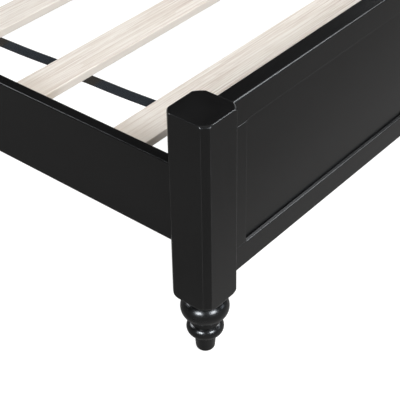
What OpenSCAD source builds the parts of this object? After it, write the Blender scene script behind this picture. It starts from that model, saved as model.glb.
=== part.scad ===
// Platform bed: square chamfered posts on turned feet, a framed and panelled footboard
// and headboard, plain side rails, a slat deck on webbing and a centre support.
// X runs across the bed, Y runs from the foot to the head, Z is up from the floor.
// The origin is on the floor, under the middle of the bed.

/* [Mattress] */
// Width of the mattress
mattress_w = 1524; // [900:1:1940]
// Length of the mattress
mattress_l = 2032; // [1800:1:2140]
// Free space on each side of the mattress
side_slack = 10; // [4:0.5:25]
// Free space at each end of the mattress
end_slack = 14; // [4:0.5:30]

/* [Posts] */
// Width of a post, flat to flat
post_w = 80; // [72:0.5:100]
// Width of the chamfer on each corner of a post
post_chamfer = 10.5; // [4:0.5:14]
// Rounding along the top edges of a post's flat sides
post_round = 1; // [0.4:0.2:2]
// Rounding at the top of a post, where its corners are turned
crown_round = 4.7; // [2:0.1:8]
// Length of the two posts at the foot end, above their feet
foot_post_l = 342; // [320:1:440]
// Length of the two posts at the head end, above their feet
head_post_l = 1030; // [780:1:1280]
// Rounding at the lower end of a post, where it is turned
shoulder_round = 6.5; // [4:0.5:10]

/* [Turned feet] */
// Height of a foot, from the floor to the post
foot_h = 120; // [106:0.5:140]
// Radius of the ball
ball_r = 39.7; // [36:0.1:42]
// Roundness of the ball, as the radius of its edge
ball_edge_r = 22; // [19:0.5:23]
// Distance from the post down to the ball's middle
ball_drop = 29.5; // [27:0.5:32]
// Radius of the ring below the ball
ring_r = 30.6; // [27:0.1:33]
// Roundness of the ring, as the radius of its edge
ring_edge_r = 13; // [11:0.5:15]
// Distance from the ball's middle down to the ring's middle
ring_drop = 43.5; // [40:0.5:46]
// Radius of the neck that joins the ball, the ring and the post
neck_r = 24; // [18:0.5:26]
// Radius of the toe just under the ring
toe_top_r = 19.3; // [17:0.1:22]
// Radius of the toe at the floor
toe_r = 15.7; // [13:0.1:17]
// Rounding at the toe's lower edge
toe_round = 6; // [2:0.5:8]

/* [Side rails] */
// Height of a side rail
rail_h = 146; // [130:1:160]
// Thickness of a side rail
rail_t = 20; // [18:0.5:24]
// Height of a side rail's lower edge above the foot
rail_lift = 94.5; // [85:0.5:105]
// Distance from a side rail's outer face back from the post's outer face
rail_setback = 16; // [12:0.5:18]
// Rounding along the edges of a side rail
rail_round = 2.5; // [1:0.5:4]

/* [Footboard and headboard] */
// Thickness of the frame
board_t = 32; // [28:0.5:36]
// Distance from the frame's outer face back from the post's outer face
board_setback = 16; // [12:0.5:18]
// Height of the frame's lower edge above the foot
board_lift = 20.5; // [12:0.5:30]
// Distance from the top of the post down to the top of the frame
board_drop = 3; // [0:0.5:12]
// Height of the top rail of the frame
top_rail_h = 47; // [40:0.5:60]
// Height of the bottom rail of the frame
bottom_rail_h = 45; // [38:0.5:56]
// Height of the middle rail of the headboard
mid_rail_h = 60; // [40:1:90]
// Height of the middle rail's lower edge above the foot
mid_rail_lift = 350; // [280:1:420]
// Width of a stile
stile_w = 36.5; // [32:0.5:60]
// Rounding along the top edges of the top rail
board_round = 3; // [1:0.5:4]
// Rounding along the frame's other edges
bead_round = 1; // [0.5:0.5:2]
// Width of the lip in front of the panel groove
lip_w = 5; // [4:0.5:9]
// Height that the lip slopes down towards its outer face
lip_drop = 2; // [1:0.5:4]
// Rounding between the lip's slope and its outer face
lip_round = 2; // [1:0.5:3]
// Width of the panel groove
groove_w = 10.5; // [10:0.5:13]
// Depth of the panel groove
groove_d = 10; // [7:0.5:12]
// Thickness of a panel
panel_t = 9; // [6:0.5:10]
// Length of a tenon in its post
tenon_l = 25; // [15:0.5:26]
// Thickness of a tenon
tenon_t = 12; // [8:0.5:14]
// Height left off each tenon above and below
tenon_shoulder = 8; // [5:0.5:10]

/* [Slats] */
// Number of slats
slat_count = 9; // [7:1:11]
// Width of a slat
slat_w = 68; // [50:1:80]
// Thickness of a slat
slat_t = 15; // [12:0.5:19]
// Distance from the top of a side rail down to the top of the slats
slat_drop = 26; // [18:0.5:36]
// Distance from the footboard to the first slat
foot_gap = 125.5; // [118:0.5:150]
// Distance from the headboard to the last slat
head_gap = 98.5; // [92:0.5:150]
// Free space between a slat's end and the side rail
slat_end_gap = 3; // [1:0.5:5]
// Rounding along the edges of a slat
slat_round = 1.5; // [0.5:0.5:3]
// Width of the cleat under the slat ends
cleat_w = 20; // [18:0.5:30]
// Height of the cleat
cleat_h = 30; // [26:0.5:40]
// Rounding along the edges of the cleats, battens, centre rail and legs
bar_round = 1.5; // [0.5:0.5:3]

/* [Webbing] */
// Width of a webbing strap
strap_w = 25; // [18:0.5:32]
// Thickness of a strap
strap_t = 1.8; // [1:0.1:2.5]
// Distance from the side rail to the middle of a strap, where the strap starts
strap_inset = 132; // [120:1:180]
// How far a strap leans towards the rail over each gap between slats
strap_lean = 9; // [0:0.5:10]
// How far a strap leans back under each slat
strap_lean_back = 3.4; // [0:0.1:5]
// Distance between a staple's legs
staple_span = 10; // [6:0.5:14]
// Length of a staple's legs above the strap
staple_l = 9; // [5:0.5:11]
// Thickness of the staple wire
staple_wire = 1; // [0.6:0.1:1.4]
// Distance of each staple from the middle of its slat
staple_offset = 18; // [10:0.5:22]

/* [Centre support] */
// Height of the centre rail
centre_rail_h = 70; // [60:1:90]
// Thickness of the centre rail
centre_rail_t = 30; // [24:0.5:34]
// Width of a centre leg
leg_w = 50; // [46:0.5:60]
// Distance between centre legs
leg_spacing = 755; // [400:5:800]
// Depth of the fork at the top of a centre leg
fork_d = 45; // [36:0.5:50]
// Height of a nail-on glide
glide_h = 5; // [3:0.5:8]
// Radius of a glide
glide_r = 11; // [8:0.5:16]
// Radius of a glide's nail
nail_r = 1.5; // [1:0.1:2]
// Length of a glide's nail
nail_l = 15; // [10:0.5:20]
// Height of a batten across the inside of the footboard or headboard
batten_h = 60; // [50:0.5:64]
// Thickness of a batten
batten_t = 20; // [16:0.5:24]
// Distance from a batten's top down from the slats
batten_drop = 4; // [2:0.5:8]
// Thickness of a saddle's sheet metal
saddle_t = 2; // [1.5:0.1:3]
// Length of a saddle along the centre rail
saddle_l = 35; // [25:0.5:45]
// Height of a saddle
saddle_h = 50; // [44:0.5:54]
// Width of each ear of a saddle
saddle_ear = 20; // [16:0.5:26]

/* [Brackets and fasteners] */
// Height of a corner bracket
bracket_h = 90; // [76:1:94]
// Width of a corner bracket's leg on the post
bracket_post_w = 28; // [24:0.5:29]
// Length of a corner bracket's leg on the side rail
bracket_rail_l = 50; // [36:0.5:52]
// Thickness of a corner bracket
bracket_t = 2.5; // [2:0.1:4]
// Distance between the two bolts of each bracket leg
bracket_bolt_gap = 60; // [40:1:70]
// Radius of a bracket bolt
bolt_r = 3; // [2.5:0.1:3.5]
// Length of a bracket bolt under its head
bolt_l = 14; // [11:0.5:15]
// Radius of a bracket bolt's head
bolt_head_r = 6; // [5:0.1:7]
// Height of a bracket bolt's head
bolt_head_h = 3.5; // [2:0.1:5]
// Outer radius of a threaded insert
insert_r = 5; // [4.5:0.1:6]
// Length of a threaded insert
insert_l = 13; // [10:0.5:14]
// Radius of a foot's hanger bolt
hanger_r = 4; // [3:0.1:5]
// Length of a hanger bolt inside the foot
hanger_foot_l = 35; // [25:0.5:45]
// Length of a hanger bolt inside the post
hanger_post_l = 45; // [30:0.5:60]
// Radius of a wood screw
screw_r = 2; // [1.5:0.1:2.4]
// Radius of a wood screw's head
screw_head_r = 4; // [3.2:0.1:4.6]
// Length of a wood screw
screw_l = 35; // [30:0.5:37]
// Length of a saddle screw
saddle_screw_l = 16; // [10:0.5:17]
// Number of screws in each cleat
cleat_screw_count = 8; // [4:1:12]
// Distance from a cleat's end to its first screw
cleat_screw_inset = 122; // [100:1:150]
// Distance from a slat's end to its screw
slat_screw_inset = 9; // [7:0.5:12]
// Radius of the bolt through a centre leg
leg_bolt_r = 3; // [2.5:0.1:4]
// Width of the hexagon on a leg bolt and its nut, flat to flat
hex_w = 10; // [8:0.5:13]
// Thickness of a leg bolt's head
hex_head_h = 4; // [3:0.1:6]
// Thickness of a leg bolt's nut
hex_nut_h = 5; // [4:0.1:7]
// Length of the thread that stands out of the nut
thread_out = 2; // [1:0.5:5]

/* [Fits] */
// Clearance round a tenon, a tongue or the centre rail
joint_fit = 0.2; // [0.1:0.05:0.4]
// Clearance round a screw, a bolt or an insert
thread_fit = 0.05; // [0.02:0.01:0.1]
// Extra depth of a blind hole or a mortise
hole_spare = 1; // [0.5:0.5:2]
// Room for the wood to swell at a panel's edge
swell_gap = 2; // [1:0.5:4]

/* [Hidden] */
$fn = 64;
eps = 0.01;
cut_past = 1;
black_paint = [0.14, 0.14, 0.15];
pale_wood = [0.89, 0.86, 0.81];
plain_wood = [0.80, 0.68, 0.50];
webbing = [0.20, 0.21, 0.23];
zinc = [0.72, 0.73, 0.75];
nylon = [0.85, 0.85, 0.83];

// Width and length inside the rails and boards
inner_w = mattress_w + 2 * side_slack;
inner_l = mattress_l + 2 * end_slack;

// Middle of each post
post_x = inner_w / 2 + rail_t + rail_setback - post_w / 2;
post_y = inner_l / 2 + board_t + board_setback - post_w / 2;

// Distance between opposite chamfer faces, and from the post's axis to its edges
chamfer_across = (post_w - post_chamfer) * sqrt(2);
post_corner_r = norm([post_w / 2, post_w / 2 - post_chamfer]);
post_reach = post_w;

// The turning at both ends of a post starts just outside its edges
turning_spare = 0.3;
turning_r = post_corner_r + turning_spare;

// Faces that meet the posts
board_x = post_x - post_w / 2;
rail_y = post_y - post_w / 2;
lip_half = board_x - stile_w;

// The rounding of a lip reaches this share of its radius below the slope
lip_blend = 0.99;

// Heights above the floor
ball_z = foot_h - ball_drop;
ring_z = ball_z - ring_drop;
foot_post_top = foot_h + foot_post_l;
head_post_top = foot_h + head_post_l;
rail_z = foot_h + rail_lift;
board_z = foot_h + board_lift;
mid_rail_z = foot_h + mid_rail_lift;
rail_top = rail_z + rail_h;
slat_top = rail_top - slat_drop;
slat_z = slat_top - slat_t;
foot_board_top = foot_post_top - board_drop;
head_board_top = head_post_top - board_drop;
bottom_rail_top = board_z + bottom_rail_h;
mid_rail_top = mid_rail_z + mid_rail_h;
centre_rail_z = slat_z - centre_rail_h;
batten_z = slat_z - batten_drop - batten_h;

// Slats
slat_l = inner_w - 2 * slat_end_gap;
first_slat_y = -inner_l / 2 + foot_gap + slat_w / 2;
slat_pitch = (inner_l - foot_gap - head_gap - slat_w) / (slat_count - 1);
function slat_y(i) = first_slat_y + i * slat_pitch;
slat_screw_x = slat_l / 2 - slat_screw_inset;

// Cleats stop short of the corner brackets
cleat_bracket_gap = 6;
cleat_half = rail_y - bracket_rail_l - cleat_bracket_gap;
cleat_z = slat_z - cleat_h;

// Middle of a strap at each edge of a slat, measured across the bed
function strap_x0(i) = inner_w / 2 - strap_inset + i * (strap_lean - strap_lean_back);
function strap_x1(i) = strap_x0(i) - strap_lean_back;
function strap_mid(i, dy) = strap_x0(i) - strap_lean_back * (0.5 + dy / slat_w);

// Corner brackets
bracket_z = rail_z + (rail_h - bracket_h) / 2;
bracket_bolt_z = [
    rail_z + rail_h / 2 - bracket_bolt_gap / 2,
    rail_z + rail_h / 2 + bracket_bolt_gap / 2
];
post_bolt_x = inner_w / 2 - (bracket_post_w + bracket_t) / 2;
rail_bolt_y = rail_y - (bracket_rail_l + bracket_t) / 2;

// Centre support
leg_ys = [-leg_spacing, 0, leg_spacing];
centre_rail_end_gap = 1;
saddle_y = inner_l / 2 - batten_t;
centre_rail_half = saddle_y - saddle_t - centre_rail_end_gap;
leg_bolt_z = centre_rail_z + fork_d / 2;
leg_bolt_l = leg_w + hex_nut_h + thread_out;
batten_end_gap = 1;
batten_half = board_x - batten_end_gap;
batten_screw_shift = 2.5;
batten_screw_x = board_x - stile_w / 2 + batten_screw_shift;
batten_screw_z = [for (share = [0.25, 0.75]) batten_z + batten_h * share];
saddle_half = centre_rail_t / 2 + joint_fit;
saddle_screw_x = saddle_half + saddle_t + saddle_ear / 2;
saddle_z = centre_rail_z - saddle_t;
saddle_screw_z = [for (share = [0.35, 0.8]) saddle_z + saddle_h * share];

bar_rounds = [bar_round, bar_round, bar_round, bar_round];

// Countersunk screws, and the round heads of the saddle screws
countersink_ratio = 1.5;
screw_head_h = countersink_ratio * (screw_head_r - screw_r);
screw_tip_h = 5;
screw_tip_r = 0.4;
saddle_head_h = 2.2;

sides = [-1, 1];
function side_name(s) = s < 0 ? "left" : "right";

// Outline of a bar with its own rounding at each corner, listed from the lower
// left corner onwards, against the clock
module bar_outline(w, h, rounds) {
    corners = [[0, 0], [w, 0], [w, h], [0, h]];
    turns = [[1, 1], [-1, 1], [-1, -1], [1, -1]];
    difference() {
        square([w, h]);
        for (i = [0 : 3]) translate(corners[i]) scale(turns[i]) corner_waste(rounds[i]);
    }
}

// What a rounding takes off a corner
module corner_waste(r) {
    if (r > 0) difference() {
        translate([-cut_past, -cut_past]) square(r + cut_past);
        translate([r, r]) circle(r);
    }
}

// Bar that runs along X, from the outline's own left edge at Y = 0
module bar_x(half, w, h, rounds) {
    translate([-half, 0, 0]) rotate([90, 0, 90]) linear_extrude(2 * half) bar_outline(w, h, rounds);
}

// Bar that runs along Y, centred on X = 0
module bar_y(half, w, h, rounds) {
    translate([0, half, 0]) rotate([90, 0, 0])
        linear_extrude(2 * half) translate([-w / 2, 0]) bar_outline(w, h, rounds);
}

// Copies for all four corners of the bed
module at_corners() {
    for (sx = sides, sy = sides) scale([sx, sy, 1]) children();
}

// Upright slab whose two top edges are rounded
module rounded_slab(across, top, r) {
    rotate([90, 0, 0]) translate([-across / 2, foot_h, -post_reach])
        linear_extrude(2 * post_reach)
            bar_outline(across, top - foot_h, [0, 0, r, r]);
}

// Post with chamfered corners whose two ends are turned, on the Z axis
module post_blank(top) {
    intersection() {
        rounded_slab(post_w, top, post_round);
        rotate([0, 0, 90]) rounded_slab(post_w, top, post_round);
        for (turn = [45, 135]) rotate([0, 0, turn])
            translate([-chamfer_across / 2, -post_reach, foot_h])
                cube([chamfer_across, 2 * post_reach, top - foot_h]);
        rotate_extrude() translate([0, foot_h])
            bar_outline(turning_r, top - foot_h, [0, shoulder_round, crown_round, 0]);
    }
}

// Post for the corner at +X and -Y, with its mortises and holes
module post(top, rails) {
    difference() {
        translate([post_x, -post_y, 0]) post_blank(top);
        for (rail = rails) tenon(rail[0], rail[1], joint_fit, hole_spare);
        post_insert_holes();
        translate([post_x, -post_y, foot_h - eps])
            cylinder(r = hanger_r + thread_fit, h = hanger_post_l + hole_spare + eps);
    }
}

// Tenon of a board rail at the corner at +X and -Y, from its lower edge z and height h
module tenon(z, h, fit, spare) {
    y = -inner_l / 2 - board_t / 2;
    translate([board_x - eps, y - tenon_t / 2 - fit, z + tenon_shoulder - fit])
        cube([tenon_l + spare + eps, tenon_t + 2 * fit, h - 2 * tenon_shoulder + 2 * fit]);
}

// Turned foot on the Z axis
module turned_foot() {
    slope = atan((toe_top_r - toe_r) / ring_z);
    toe_x = toe_r - toe_round;
    difference() {
        rotate_extrude() union() {
            translate([toe_x, toe_round]) circle(toe_round);
            polygon([
                [0, 0], [toe_x, 0],
                [toe_x + toe_round * cos(slope), toe_round * (1 - sin(slope))],
                [toe_top_r, ring_z], [0, ring_z]
            ]);
            bead(ring_r, ring_edge_r, ring_z);
            bead(ball_r, ball_edge_r, ball_z);
            translate([0, ring_z]) square([neck_r, foot_h - ring_z]);
        }
        translate([0, 0, foot_h - hanger_foot_l - hole_spare])
            cylinder(r = hanger_r + thread_fit, h = hanger_foot_l + hole_spare + eps);
    }
}

// Half outline of a turned bead
module bead(r, edge_r, z) {
    intersection() {
        translate([r - edge_r, z]) circle(edge_r);
        translate([0, z - edge_r]) square([r, 2 * edge_r]);
    }
    translate([0, z - edge_r]) square([r - edge_r, 2 * edge_r]);
}

// Groove for the panels, along X, its mouth at Z = 0 and its depth below
module panel_groove(half) {
    translate([-half, lip_w, -groove_d]) cube([2 * half, groove_w, groove_d + eps]);
    translate([-lip_half, 0, 0]) rotate([90, 0, 90]) linear_extrude(2 * lip_half) lip_waste();
}

// What the slope takes off a lip: outer face at X = 0, groove's mouth at Y = 0
module lip_waste() {
    slope = atan(lip_drop / lip_w);
    middle = lip_round * (tan(slope) - lip_blend / cos(slope)) - lip_drop;
    low = -lip_drop - cut_past * tan(slope);
    polygon([[-cut_past, cut_past], [-cut_past, low], [lip_w, 0], [lip_w, cut_past]]);
    difference() {
        translate([-cut_past, middle])
            square([lip_round * (1 - sin(slope)) + cut_past, cut_past - middle]);
        translate([lip_round, middle]) circle(lip_round);
    }
}

// Moves a piece that is drawn with the board's outer face at Y = 0 to the foot end
module at_board() {
    translate([0, -inner_l / 2 - board_t, 0]) children();
}

// Rail of a board with a tenon at each end. The groove is below, above or on both
// sides: grooves = [below, above]
module board_rail(z, h, rounds, grooves) {
    at_board() translate([0, 0, z]) difference() {
        bar_x(board_x, board_t, h, rounds);
        if (grooves[0]) mirror([0, 0, 1]) panel_groove(board_x + eps);
        if (grooves[1]) translate([0, 0, h]) panel_groove(board_x + eps);
    }
    for (s = sides) scale([s, 1, 1]) tenon(z, h, 0, 0);
}

module top_rail(board_top) {
    color(black_paint)
        board_rail(board_top - top_rail_h, top_rail_h,
            [bead_round, bead_round, board_round, board_round], [true, false]);
}

module bottom_rail() {
    color(black_paint)
        board_rail(board_z, bottom_rail_h,
            [bead_round, bead_round, bead_round, bead_round], [false, true]);
}

// Middle rail of the headboard, with a tongue at each end in the stiles' grooves
module mid_rail() {
    half = lip_half;
    tongue = groove_d - hole_spare;
    color(black_paint) at_board() translate([0, 0, mid_rail_z]) union() {
        difference() {
            bar_x(half, board_t, mid_rail_h, [bead_round, bead_round, bead_round, bead_round]);
            mirror([0, 0, 1]) panel_groove(half + eps);
            translate([0, 0, mid_rail_h]) panel_groove(half + eps);
        }
        translate([-half - tongue, lip_w + joint_fit, groove_d])
            cube([2 * (half + tongue), groove_w - 2 * joint_fit, mid_rail_h - 2 * groove_d]);
        for (s = sides) scale([s, 1, 1]) translate([half - eps, lip_round, lip_drop + lip_round])
            linear_extrude(mid_rail_h - 2 * (lip_drop + lip_round)) mid_rail_cope();
    }
}

// End of the middle rail that fits the slope of a stile's lip
module mid_rail_cope() {
    polygon([[0, 0], [lip_drop * (1 - lip_round / lip_w), 0], [0, lip_w - lip_round]]);
}

// Stile at +X between the bottom rail and a top rail, with a tongue at each end
module stile(board_top) {
    z0 = bottom_rail_top;
    h = board_top - top_rail_h - z0;
    tongue = groove_d - hole_spare;
    color(black_paint) at_board() translate([lip_half, 0, z0]) union() {
        difference() {
            linear_extrude(h)
                bar_outline(stile_w, board_t, [bead_round, 0, 0, bead_round]);
            translate([-eps, lip_w, -eps]) cube([groove_d + eps, groove_w, h + 2 * eps]);
            translate([0, 0, -eps]) linear_extrude(h + 2 * eps) rotate(90) lip_waste();
        }
        translate([groove_d + joint_fit, lip_w + joint_fit, -tongue])
            cube([stile_w - groove_d - joint_fit, groove_w - 2 * joint_fit, h + 2 * tongue]);
    }
}

// Panel between two grooved rails: z0 and z1 are the rails' faces
module panel(z0, z1) {
    half = lip_half + groove_d - swell_gap;
    z = z0 - groove_d;
    color(black_paint) at_board()
        translate([-half, lip_w + groove_w - panel_t, z])
            cube([2 * half, panel_t, z1 + groove_d - swell_gap - z]);
}

// Batten across the inside of a board, screwed to its stiles
module batten() {
    color(black_paint) difference() {
        translate([0, -inner_l / 2, batten_z]) bar_x(batten_half, batten_t, batten_h, bar_rounds);
        batten_screw_set(thread_fit);
        saddle_screw_set(thread_fit);
    }
}

// Places of the screws through one batten, heads on the inside
module batten_screw_set(fit) {
    for (s = sides, z = batten_screw_z)
        translate([s * batten_screw_x, -inner_l / 2 + batten_t, z])
            rotate([-90, 0, 0]) wood_screw(screw_l, fit);
}

// Countersunk screw that points down from its head's face at Z = 0
module wood_screw(l, fit) {
    shank = l - screw_head_h - screw_tip_h;
    translate([0, 0, -screw_head_h])
        cylinder(r1 = screw_r + fit, r2 = screw_head_r + fit, h = screw_head_h);
    translate([0, 0, -screw_head_h - shank]) cylinder(r = screw_r + fit, h = shank);
    translate([0, 0, -l - (fit > 0 ? hole_spare : 0)])
        cylinder(r1 = screw_tip_r + fit, r2 = screw_r + fit, h = screw_tip_h + (fit > 0 ? hole_spare : 0));
}

// Stile and batten share the batten's screws
module board_stile(board_top, s) {
    difference() {
        scale([s, 1, 1]) stile(board_top);
        batten_screw_set(thread_fit);
    }
}

// Side rail at +X
module side_rail() {
    color(black_paint) difference() {
        translate([inner_w / 2 + rail_t / 2, 0, rail_z])
            bar_y(rail_y, rail_t, rail_h, [rail_round, rail_round, rail_round, rail_round]);
        for (sy = sides) scale([1, sy, 1]) rail_insert_holes();
        cleat_screw_set(thread_fit);
    }
}

module slat_cleat() {
    color(plain_wood) difference() {
        translate([(inner_w - cleat_w) / 2, 0, cleat_z])
            bar_y(cleat_half, cleat_w, cleat_h, bar_rounds);
        cleat_screw_set(thread_fit);
        for (i = [0, slat_count - 1]) slat_screw(i, thread_fit);
    }
}

// Screws through the cleat at +X into its side rail
module cleat_screw_set(fit) {
    reach = cleat_half - cleat_screw_inset;
    step = 2 * reach / (cleat_screw_count - 1);
    for (i = [0 : cleat_screw_count - 1])
        translate([inner_w / 2 - cleat_w, -reach + i * step, cleat_z + cleat_h / 2])
            rotate([0, -90, 0]) wood_screw(screw_l, fit);
}

// Screw at the +X end of a slat
module slat_screw(i, fit) {
    translate([slat_screw_x, slat_y(i), slat_top]) wood_screw(screw_l, fit);
}

module slat(i) {
    color(pale_wood) difference() {
        translate([0, slat_y(i) - slat_w / 2, slat_z])
            bar_x(slat_l / 2, slat_w, slat_t, [slat_round, slat_round, slat_round, slat_round]);
        if (i == 0 || i == slat_count - 1)
            for (s = sides) scale([s, 1, 1]) slat_screw(i, thread_fit);
        for (s = sides) scale([s, 1, 1]) staple_legs(i, thread_fit);
    }
}

// Webbing strap near the rail at +X, flat under the slats
module webbing_strap() {
    near = [for (i = [0 : slat_count - 1]) each [
        [strap_x0(i) - strap_w / 2, slat_y(i) - slat_w / 2],
        [strap_x1(i) - strap_w / 2, slat_y(i) + slat_w / 2]
    ]];
    far = [for (i = [slat_count - 1 : -1 : 0]) each [
        [strap_x1(i) + strap_w / 2, slat_y(i) + slat_w / 2],
        [strap_x0(i) + strap_w / 2, slat_y(i) - slat_w / 2]
    ]];
    color(webbing) difference() {
        translate([0, 0, slat_z - strap_t]) linear_extrude(strap_t) polygon(concat(near, far));
        for (i = [0 : slat_count - 1]) staple_legs(i, thread_fit);
    }
}

// Legs of the two staples where the strap at +X passes under a slat
module staple_legs(i, fit) {
    spare = fit > 0 ? hole_spare : 0;
    for (dy = [-staple_offset, staple_offset], dx = [-0.5, 0.5])
        translate([strap_mid(i, dy) + dx * staple_span, slat_y(i) + dy, slat_z - strap_t - eps])
            cylinder(r = staple_wire / 2 + fit, h = strap_t + staple_l + spare + eps);
}

module strap_staples() {
    crown = staple_span + staple_wire;
    color(zinc) for (s = sides, i = [0 : slat_count - 1]) scale([s, 1, 1]) union() {
        staple_legs(i, 0);
        for (dy = [-staple_offset, staple_offset])
            translate([strap_mid(i, dy) - crown / 2, slat_y(i) + dy - staple_wire / 2,
                slat_z - strap_t - staple_wire])
                cube([crown, staple_wire, staple_wire]);
    }
}

module centre_rail() {
    color(plain_wood) difference() {
        translate([0, 0, centre_rail_z])
            bar_y(centre_rail_half, centre_rail_t, centre_rail_h, bar_rounds);
        for (y = leg_ys) leg_bolt_hole(y);
    }
}

module leg_bolt_hole(y) {
    translate([-leg_w, y, leg_bolt_z]) rotate([0, 90, 0])
        cylinder(r = leg_bolt_r + thread_fit, h = 2 * leg_w);
}

module centre_leg(y) {
    slot = centre_rail_t + 2 * joint_fit;
    color(plain_wood) difference() {
        translate([-leg_w / 2, y - leg_w / 2, glide_h])
            linear_extrude(centre_rail_z + fork_d - glide_h) bar_outline(leg_w, leg_w, bar_rounds);
        translate([-slot / 2, y - leg_w / 2 - eps, centre_rail_z])
            cube([slot, leg_w + 2 * eps, fork_d + eps]);
        leg_bolt_hole(y);
        translate([0, y, glide_h - eps])
            cylinder(r = nail_r + thread_fit, h = nail_l + hole_spare + eps);
    }
}

module hexagon(h) {
    rotate([0, 0, 30]) cylinder(r = hex_w / sqrt(3), h = h, $fn = 6);
}

module leg_bolts() {
    color(zinc) for (y = leg_ys) translate([-leg_w / 2, y, leg_bolt_z]) rotate([0, 90, 0]) union() {
        translate([0, 0, -hex_head_h]) hexagon(hex_head_h);
        translate([0, 0, -eps]) cylinder(r = leg_bolt_r, h = leg_bolt_l + eps);
    }
}

module leg_nuts() {
    color(zinc) for (y = leg_ys) translate([leg_w / 2, y, leg_bolt_z]) rotate([0, 90, 0]) difference() {
        hexagon(hex_nut_h);
        translate([0, 0, -eps]) cylinder(r = leg_bolt_r + thread_fit, h = hex_nut_h + 2 * eps);
    }
}

module leg_glides() {
    color(nylon) for (y = leg_ys) translate([0, y, 0]) union() {
        cylinder(r = glide_r, h = glide_h);
        cylinder(r = nail_r, h = glide_h + nail_l);
    }
}

// Saddle at the foot end: a back plate with two ears, two walls and a floor
module saddle() {
    y = -saddle_y;
    outer = saddle_half + saddle_t;
    color(zinc) difference() {
        union() {
            translate([-outer - saddle_ear, y, saddle_z])
                cube([2 * (outer + saddle_ear), saddle_t, saddle_h]);
            translate([-outer, y, saddle_z]) cube([2 * outer, saddle_l, saddle_h]);
        }
        translate([-saddle_half, y + saddle_t, saddle_z + saddle_t])
            cube([2 * saddle_half, saddle_l, saddle_h]);
        saddle_screw_set(thread_fit);
    }
}

// Round-headed screws that hold a saddle to its batten
module saddle_screw_set(fit) {
    spare = fit > 0 ? hole_spare : 0;
    for (s = sides, z = saddle_screw_z)
        translate([s * saddle_screw_x, -saddle_y + saddle_t, z]) rotate([90, 0, 0]) union() {
            translate([0, 0, -eps]) cylinder(r = screw_r + fit, h = saddle_screw_l + spare + eps);
            if (fit == 0) translate([0, 0, -saddle_head_h]) cylinder(r = screw_head_r, h = saddle_head_h);
        }
}

// Corner bracket at +X and -Y: one leg on the post and one on the side rail
module corner_bracket() {
    x = inner_w / 2;
    color(zinc) difference() {
        union() {
            translate([x - bracket_post_w, -rail_y, bracket_z])
                cube([bracket_post_w, bracket_t, bracket_h]);
            translate([x - bracket_t, -rail_y, bracket_z])
                cube([bracket_t, bracket_rail_l, bracket_h]);
        }
        bracket_bolt_set(thread_fit);
    }
}

// Bolts of one corner bracket, with holes for them where fit is more than 0
module bracket_bolt_set(fit) {
    for (z = bracket_bolt_z) {
        translate([post_bolt_x, -rail_y + bracket_t, z]) rotate([90, 0, 0]) bracket_bolt(fit);
        translate([inner_w / 2 - bracket_t, -rail_bolt_y, z]) rotate([0, 90, 0]) bracket_bolt(fit);
    }
}

module bracket_bolt(fit) {
    translate([0, 0, -eps]) cylinder(r = bolt_r + fit, h = bolt_l + eps);
    if (fit == 0) translate([0, 0, -bolt_head_h]) cylinder(r = bolt_head_r, h = bolt_head_h);
}

// Holes for the threaded inserts, in the post and in the side rail
module post_insert_holes() {
    for (z = bracket_bolt_z)
        translate([post_bolt_x, -rail_y + eps, z]) rotate([90, 0, 0]) insert_hole();
}

module rail_insert_holes() {
    for (z = bracket_bolt_z)
        translate([inner_w / 2 - eps, -rail_bolt_y, z]) rotate([0, 90, 0]) insert_hole();
}

module insert_hole() {
    cylinder(r = insert_r + thread_fit, h = insert_l + hole_spare + eps);
}

module threaded_insert() {
    difference() {
        cylinder(r = insert_r, h = insert_l);
        translate([0, 0, -eps]) cylinder(r = bolt_r + thread_fit, h = insert_l + 2 * eps);
    }
}

module threaded_inserts() {
    color(zinc) at_corners() for (z = bracket_bolt_z) {
        translate([post_bolt_x, -rail_y, z]) rotate([90, 0, 0]) threaded_insert();
        translate([inner_w / 2, -rail_bolt_y, z]) rotate([0, 90, 0]) threaded_insert();
    }
}

module foot_hanger_bolts() {
    color(zinc) for (sx = sides, sy = sides)
        translate([sx * post_x, sy * post_y, foot_h - hanger_foot_l])
            cylinder(r = hanger_r, h = hanger_foot_l + hanger_post_l);
}

module foot_post() {
    color(black_paint)
        post(foot_post_top, [
            [foot_board_top - top_rail_h, top_rail_h],
            [board_z, bottom_rail_h]
        ]);
}

module head_post() {
    color(black_paint) scale([1, -1, 1])
        post(head_post_top, [
            [head_board_top - top_rail_h, top_rail_h],
            [board_z, bottom_rail_h]
        ]);
}

// Posts and feet
for (s = sides) {
    scale([s, 1, 1]) foot_post();
    scale([s, 1, 1]) head_post();
    translate([s * post_x, -post_y, 0]) color(black_paint) turned_foot();
    translate([s * post_x, post_y, 0]) color(black_paint) turned_foot();
}

// Footboard
top_rail(foot_board_top);  // footboard_top_rail
bottom_rail();  // footboard_bottom_rail
for (s = sides)
    board_stile(foot_board_top, s);
panel(bottom_rail_top, foot_board_top - top_rail_h);  // footboard_panel
batten();  // footboard_batten

// Headboard, drawn at the foot end and turned over to the head end
mirror([0, 1, 0]) top_rail(head_board_top);  // headboard_top_rail
mirror([0, 1, 0]) mid_rail();  // headboard_mid_rail
mirror([0, 1, 0]) bottom_rail();  // headboard_bottom_rail
for (s = sides)
    mirror([0, 1, 0]) board_stile(head_board_top, s);
mirror([0, 1, 0]) panel(mid_rail_top, head_board_top - top_rail_h);  // headboard_upper_panel
mirror([0, 1, 0]) panel(bottom_rail_top, mid_rail_z);  // headboard_lower_panel
mirror([0, 1, 0]) batten();  // headboard_batten

// Side rails, cleats, slats and webbing
for (s = sides) {
    scale([s, 1, 1]) side_rail();
    scale([s, 1, 1]) slat_cleat();
    scale([s, 1, 1]) webbing_strap();
}
for (i = [0 : slat_count - 1])
    slat(i);

// Centre support
centre_rail();
for (i = [0 : len(leg_ys) - 1])
    centre_leg(leg_ys[i]);
saddle();  // saddle_foot_end
mirror([0, 1, 0]) saddle();  // saddle_head_end

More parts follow.
